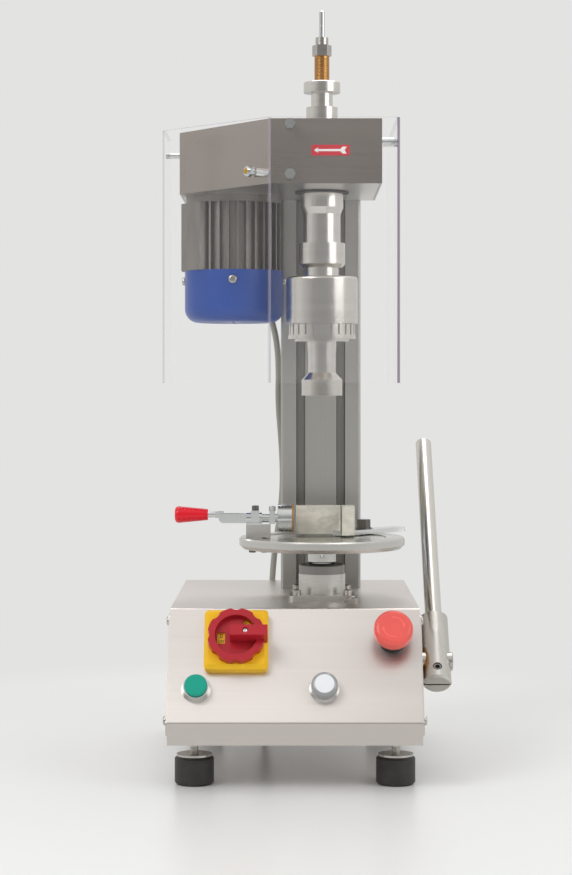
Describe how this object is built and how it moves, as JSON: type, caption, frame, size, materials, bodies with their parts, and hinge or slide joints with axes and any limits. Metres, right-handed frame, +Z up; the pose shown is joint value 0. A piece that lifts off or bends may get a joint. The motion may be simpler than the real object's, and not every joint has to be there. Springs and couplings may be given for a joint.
{
  "type": "lever capper",
  "caption": "Benchtop capper: slotted column on a console, belt-driven spindle with clutch and chuck, clear guard, lever-raised table with push clamp and corner stop",
  "frame": {"origin": "On the surface it stands on, in the middle of its outline seen from above", "axes": "+X to the operator's right, towards the lever; -Y towards the operator; +Z up along the column"},
  "size_m": [0.3094, 0.3918, 0.809],
  "materials": {
    "sheet_steel": "satin brushed stainless sheet, pale",
    "head_steel": "satin brushed stainless sheet, warm grey",
    "steel": "machined steel",
    "bright_steel": "turned steel with fine lathe lines",
    "dark_screw": "browned screw heads",
    "chrome_plate": "bright plated",
    "bright_alloy": "turned alloy, satin",
    "column_alloy": "anodised extrusion, matt grey",
    "motor_alloy": "grey painted die casting",
    "dark_alloy": "dark anodised",
    "bronze": "plain bronze",
    "rubber_black": "matt black rubber",
    "cable_grey": "grey green jacket",
    "black_plastic": "fine grained black",
    "red_grip": "dipped red vinyl, glossy",
    "pale_plastic": "pale machined plastic with faint streaks",
    "blue_paint": "semi gloss blue paint",
    "clear_sheet": "clear sheet, polished edges",
    "yellow_plastic": "smooth yellow",
    "red_plastic": "smooth red",
    "green_plastic": "smooth green",
    "lamp_white": "frosted white lens",
    "coral_plastic": "smooth coral red"
  },
  "bodies": {
    "frame": {"feet": "rubber_black", "foot_studs": "steel", "base_shell": "sheet_steel", "base_floor": "sheet_steel", "inner_frame": "steel", "side_covers": "sheet_steel", "frame_screws": "bright_steel", "column": "column_alloy", "column_cap": "black_plastic", "lift_guide": "bright_alloy", "guide_cap": "dark_alloy", "shaft_seals": "rubber_black", "bronze_bushes": "bronze", "head_bracket": "bright_alloy", "head_cover": "head_steel", "bearing_housing": "bright_steel", "ball_bearings": "steel", "drive_belt": "rubber_black", "motor_housing": "motor_alloy", "fan_cover": "blue_paint", "terminal_box": "black_plastic", "cable_glands": "black_plastic", "motor_cable": "cable_grey", "guard": "clear_sheet", "guard_fixings": "bright_steel", "switch_plate": "yellow_plastic", "switch_bodies": "black_plastic", "button_bezels": "steel", "lamp_lens": "lamp_white"},
    "lift": {"lift_shaft": "chrome_plate", "table_collar": "bright_alloy", "bottle_table": "bright_alloy", "clamp_block": "bright_steel", "clamp_body": "chrome_plate", "table_screws": "dark_screw"},
    "lever": {"lever_shaft": "steel", "lever_pinion": "steel", "lever_hub": "bright_steel", "lever_rod": "bright_steel", "hub_screws": "dark_screw"},
    "stop": {"v_block": "pale_plastic", "fixture_bar": "bright_steel"},
    "clamp_lever": {"clamp_handle": "chrome_plate", "clamp_grip": "red_grip"},
    "plunger": {"clamp_plunger": "chrome_plate"},
    "link": {"clamp_link": "chrome_plate"},
    "spindle": {"spindle_shaft": "bright_steel", "drive_sleeve": "bright_steel", "clutch_collar": "bright_steel", "clutch_housing": "bright_steel", "top_collar": "bright_steel", "threaded_sleeve": "bright_steel", "sleeve_nuts": "bright_steel", "stop_rod": "bright_steel"},
    "chuck_body": {"clutch_ring": "bright_steel", "chuck": "bright_steel"},
    "rotor": {"motor_rotor": "steel"},
    "main_switch": {"switch_handle": "red_plastic"},
    "start_key": {"start_button": "green_plastic"},
    "stop_key": {"estop_button": "coral_plastic"}
  },
  "joints": [
    {"name": "lever_turn", "type": "hinge", "parent": "frame", "child": "lever", "pos_m": [0.0167, -0.0595, 0.113], "axis": [1, 0, 0], "range_deg": [0, 80]},
    {"name": "table_lift", "type": "slide", "parent": "frame", "child": "lift", "axis": [0, 0, 1], "range_m": [0, 0.042]},
    {"name": "stop_slide", "type": "slide", "parent": "lift", "child": "stop", "axis": [0.7071, 0.7071, 0], "range_m": [-0.007, 0.006]},
    {"name": "clamp_turn", "type": "hinge", "parent": "lift", "child": "clamp_lever", "pos_m": [-0.0893, -0.022, 0.2625], "axis": [0, 1, 0], "range_deg": [0, 100]},
    {"name": "plunger_slide", "type": "slide", "parent": "lift", "child": "plunger", "axis": [-1, 0, 0], "range_m": [0, 0.0067]},
    {"name": "link_turn", "type": "hinge", "parent": "plunger", "child": "link", "pos_m": [-0.0693, -0.022, 0.2625], "axis": [0, 1, 0], "range_deg": [-19.2, 0]},
    {"name": "spindle_spin", "type": "hinge", "parent": "frame", "child": "spindle", "pos_m": [0.0167, -0.022, 0.64], "axis": [0, 0, 1], "continuous": true},
    {"name": "motor_spin", "type": "hinge", "parent": "frame", "child": "rotor", "pos_m": [-0.0799, 0.047, 0.56], "axis": [0, 0, 1], "continuous": true},
    {"name": "clutch_slip", "type": "hinge", "parent": "spindle", "child": "chuck_body", "pos_m": [0.0167, -0.022, 0.46], "axis": [0, 0, 1], "continuous": true},
    {"name": "switch_turn", "type": "hinge", "parent": "frame", "child": "main_switch", "pos_m": [-0.0719, -0.144, 0.14308], "axis": [0, -0.866, 0.5], "range_deg": [0, 90]},
    {"name": "start_press", "type": "slide", "parent": "frame", "child": "start_key", "axis": [0, 0.866, -0.5], "range_m": [0, 0.004], "stiffness_N_per_m": 300},
    {"name": "estop_press", "type": "slide", "parent": "frame", "child": "stop_key", "axis": [0, 0.866, -0.5], "range_m": [0, 0.005], "stiffness_N_per_m": 500}
  ],
  "couplings": [
    {"joint": "table_lift", "follows": "lever_turn", "m_per_rad": 0.03},
    {"joint": "clamp_turn", "follows": "plunger_slide", "rad_per_m": 260.4},
    {"joint": "link_turn", "follows": "plunger_slide", "rad_per_m": -49.9},
    {"joint": "motor_spin", "follows": "spindle_spin", "ratio": 2}
  ]
}
